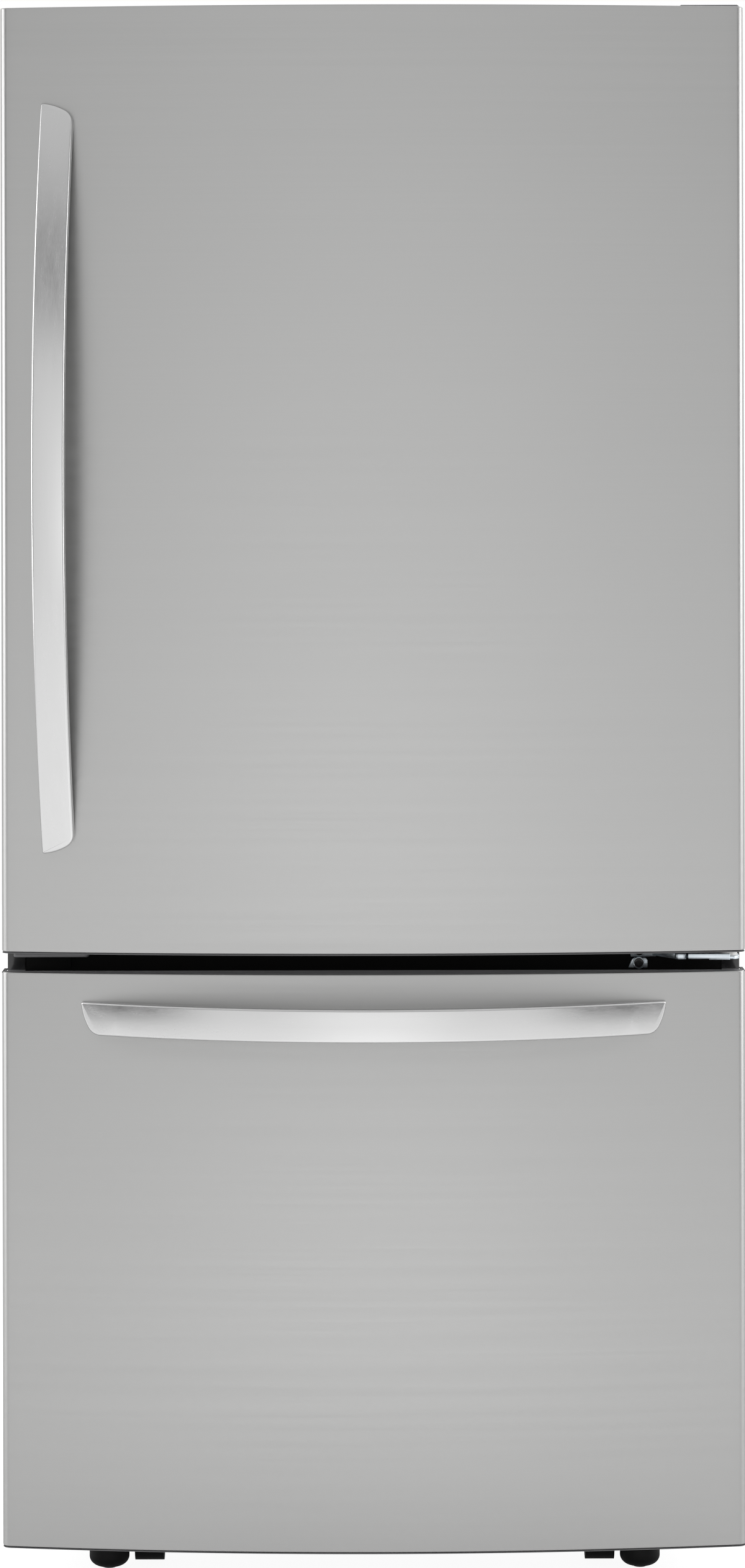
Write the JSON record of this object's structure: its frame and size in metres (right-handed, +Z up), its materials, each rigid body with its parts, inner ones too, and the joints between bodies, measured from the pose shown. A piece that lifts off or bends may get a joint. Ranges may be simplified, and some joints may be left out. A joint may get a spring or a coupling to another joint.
{
  "type": "bottom freezer refrigerator",
  "caption": "Bowed-front refrigerator with a hinged upper door, bow handles and a pull-out freezer drawer on synchronised telescopic slides.",
  "frame": {"origin": "on the floor, under the middle of the whole refrigerator with its handles", "axes": "+Z up, the doors face -Y, +X to the right seen from the front"},
  "size_m": [0.832, 0.902, 1.772],
  "materials": {
    "brushed_front": "fine level brush lines, satin",
    "satin_handle": "satin, brushed along its length",
    "case_paint": "fine texture paint, mid grey",
    "galvanised_steel": "zinc coated sheet, matt",
    "zinc_steel": "bright zinc plate",
    "white_steel": "white powder coat",
    "black_enamel": "black stove enamel, semi-gloss",
    "copper_tube": "drawn copper, dull",
    "evaporator_aluminium": "mill finish fins",
    "rear_cover_sheet": "galvanised sheet",
    "foam": "rigid closed-cell foam",
    "white_liner": "smooth moulded white",
    "white_plastic": "moulded white",
    "grey_plastic": "moulded grey",
    "black_plastic": "moulded black",
    "black_trim": "satin black",
    "black_rubber": "soft black",
    "grey_gasket": "soft grey vinyl",
    "clear_bin": "clear moulded",
    "shelf_glass": "tempered glass"
  },
  "bodies": {
    "cabinet": {"cabinet_shell": "case_paint", "back_panel": "galvanised_steel", "foam_insulation": "foam", "fridge_liner": "white_liner", "freezer_liner": "white_liner", "mullion_bar": "black_trim", "base_frame": "galvanised_steel", "compressor": "black_enamel", "compressor_mounts": "black_rubber", "condenser_coil": "copper_tube", "fan_motors": "grey_plastic", "drain_pan": "black_plastic", "rear_cover": "rear_cover_sheet", "cord_gland": "black_rubber", "top_hinge_bracket": "zinc_steel", "top_hinge_cover": "grey_plastic", "middle_hinge_bracket": "zinc_steel", "evaporator": "evaporator_aluminium", "evaporator_cover": "white_plastic", "air_duct": "white_plastic", "ceiling_panel": "white_plastic", "shelf_ladders": "white_steel", "shelf_frames": "white_steel", "shelf_glass": "shelf_glass", "crisper_cover": "shelf_glass", "slide_outer": "zinc_steel", "slide_racks": "white_plastic"},
    "door": {"door_skin": "brushed_front", "door_caps": "grey_plastic", "door_foam": "foam", "door_liner": "white_liner", "door_gasket": "grey_gasket", "door_handle": "satin_handle", "door_bins": "clear_bin", "dairy_bin": "clear_bin"},
    "dairy_flap": {"dairy_lid": "clear_bin"},
    "drawer": {"drawer_skin": "brushed_front", "drawer_caps": "grey_plastic", "drawer_foam": "foam", "drawer_liner": "white_liner", "drawer_gasket": "grey_gasket", "drawer_handle": "satin_handle", "drawer_frame": "zinc_steel", "lower_bin": "clear_bin"},
    "slide_members": {"slide_middle": "zinc_steel"},
    "cross_shaft": {"sync_shaft": "zinc_steel", "pinions": "white_plastic"},
    "freezer_tray": {"upper_tray": "clear_bin"},
    "left_crisper": {"crisper_left": "clear_bin"},
    "right_crisper": {"crisper_right": "clear_bin"},
    "pantry": {"pantry_drawer": "clear_bin"},
    "humidity_tab": {"humidity_slider": "white_plastic"},
    "roller_front_left": {"front_roller_left": "black_plastic"},
    "roller_front_right": {"front_roller_right": "black_plastic"},
    "roller_rear_left": {"rear_roller_left": "black_plastic"},
    "roller_rear_right": {"rear_roller_right": "black_plastic"},
    "foot_left": {"levelling_foot_left": "black_plastic"},
    "foot_right": {"levelling_foot_right": "black_plastic"},
    "condenser_wheel": {"condenser_fan": "grey_plastic"},
    "evaporator_wheel": {"evaporator_fan": "white_plastic"}
  },
  "joints": [
    {"name": "door_hinge", "type": "hinge", "parent": "cabinet", "child": "door", "pos_m": [0.4, -0.318, 0.7], "axis": [0, 0, 1], "range_deg": [0, 125]},
    {"name": "dairy_flap_hinge", "type": "hinge", "parent": "door", "child": "dairy_flap", "pos_m": [0, -0.172, 1.599], "axis": [1, 0, 0], "range_deg": [0, 80]},
    {"name": "drawer_slide", "type": "slide", "parent": "cabinet", "child": "drawer", "axis": [0, -1, 0], "range_m": [0, 0.4]},
    {"name": "middle_member_slide", "type": "slide", "parent": "cabinet", "child": "slide_members", "axis": [0, -1, 0], "range_m": [0, 0.2]},
    {"name": "cross_shaft_spin", "type": "hinge", "parent": "drawer", "child": "cross_shaft", "pos_m": [0, 0.14, 0.2626], "axis": [1, 0, 0], "range_deg": [0, 1528]},
    {"name": "freezer_tray_slide", "type": "slide", "parent": "cabinet", "child": "freezer_tray", "axis": [0, -1, 0], "range_m": [0, 0.24]},
    {"name": "left_crisper_slide", "type": "slide", "parent": "cabinet", "child": "left_crisper", "axis": [0, -1, 0], "range_m": [0, 0.251]},
    {"name": "right_crisper_slide", "type": "slide", "parent": "cabinet", "child": "right_crisper", "axis": [0, -1, 0], "range_m": [0, 0.251]},
    {"name": "pantry_slide", "type": "slide", "parent": "cabinet", "child": "pantry", "axis": [0, -1, 0], "range_m": [0, 0.251]},
    {"name": "humidity_tab_slide", "type": "slide", "parent": "cabinet", "child": "humidity_tab", "axis": [1, 0, 0], "range_m": [0, 0.024]},
    {"name": "roller_front_left_spin", "type": "hinge", "parent": "cabinet", "child": "roller_front_left", "pos_m": [-0.257, -0.243, 0.024], "axis": [1, 0, 0], "continuous": true},
    {"name": "roller_front_right_spin", "type": "hinge", "parent": "cabinet", "child": "roller_front_right", "pos_m": [0.257, -0.243, 0.024], "axis": [1, 0, 0], "continuous": true},
    {"name": "roller_rear_left_spin", "type": "hinge", "parent": "cabinet", "child": "roller_rear_left", "pos_m": [-0.34, 0.405, 0.022], "axis": [1, 0, 0], "continuous": true},
    {"name": "roller_rear_right_spin", "type": "hinge", "parent": "cabinet", "child": "roller_rear_right", "pos_m": [0.34, 0.405, 0.022], "axis": [1, 0, 0], "continuous": true},
    {"name": "foot_left_turn", "type": "hinge", "parent": "cabinet", "child": "foot_left", "pos_m": [-0.302, -0.268, 0.03], "axis": [0, 0, 1], "continuous": true},
    {"name": "foot_right_turn", "type": "hinge", "parent": "cabinet", "child": "foot_right", "pos_m": [0.302, -0.268, 0.03], "axis": [0, 0, 1], "continuous": true},
    {"name": "condenser_fan_spin", "type": "hinge", "parent": "cabinet", "child": "condenser_wheel", "pos_m": [-0.091, 0.337, 0.171], "axis": [1, 0, 0], "continuous": true},
    {"name": "evaporator_fan_spin", "type": "hinge", "parent": "cabinet", "child": "evaporator_wheel", "pos_m": [0, 0.304, 0.59], "axis": [0, 1, 0], "continuous": true}
  ],
  "couplings": [
    {"joint": "middle_member_slide", "follows": "drawer_slide", "ratio": 0.5},
    {"joint": "cross_shaft_spin", "follows": "drawer_slide", "rad_per_m": 66.667},
    {"joint": "freezer_tray_slide", "follows": "drawer_slide", "ratio": 0.6},
    {"joint": "left_crisper_slide", "follows": "door_hinge", "m_per_rad": 0.11459},
    {"joint": "right_crisper_slide", "follows": "door_hinge", "m_per_rad": 0.11459},
    {"joint": "pantry_slide", "follows": "door_hinge", "m_per_rad": 0.11459}
  ]
}
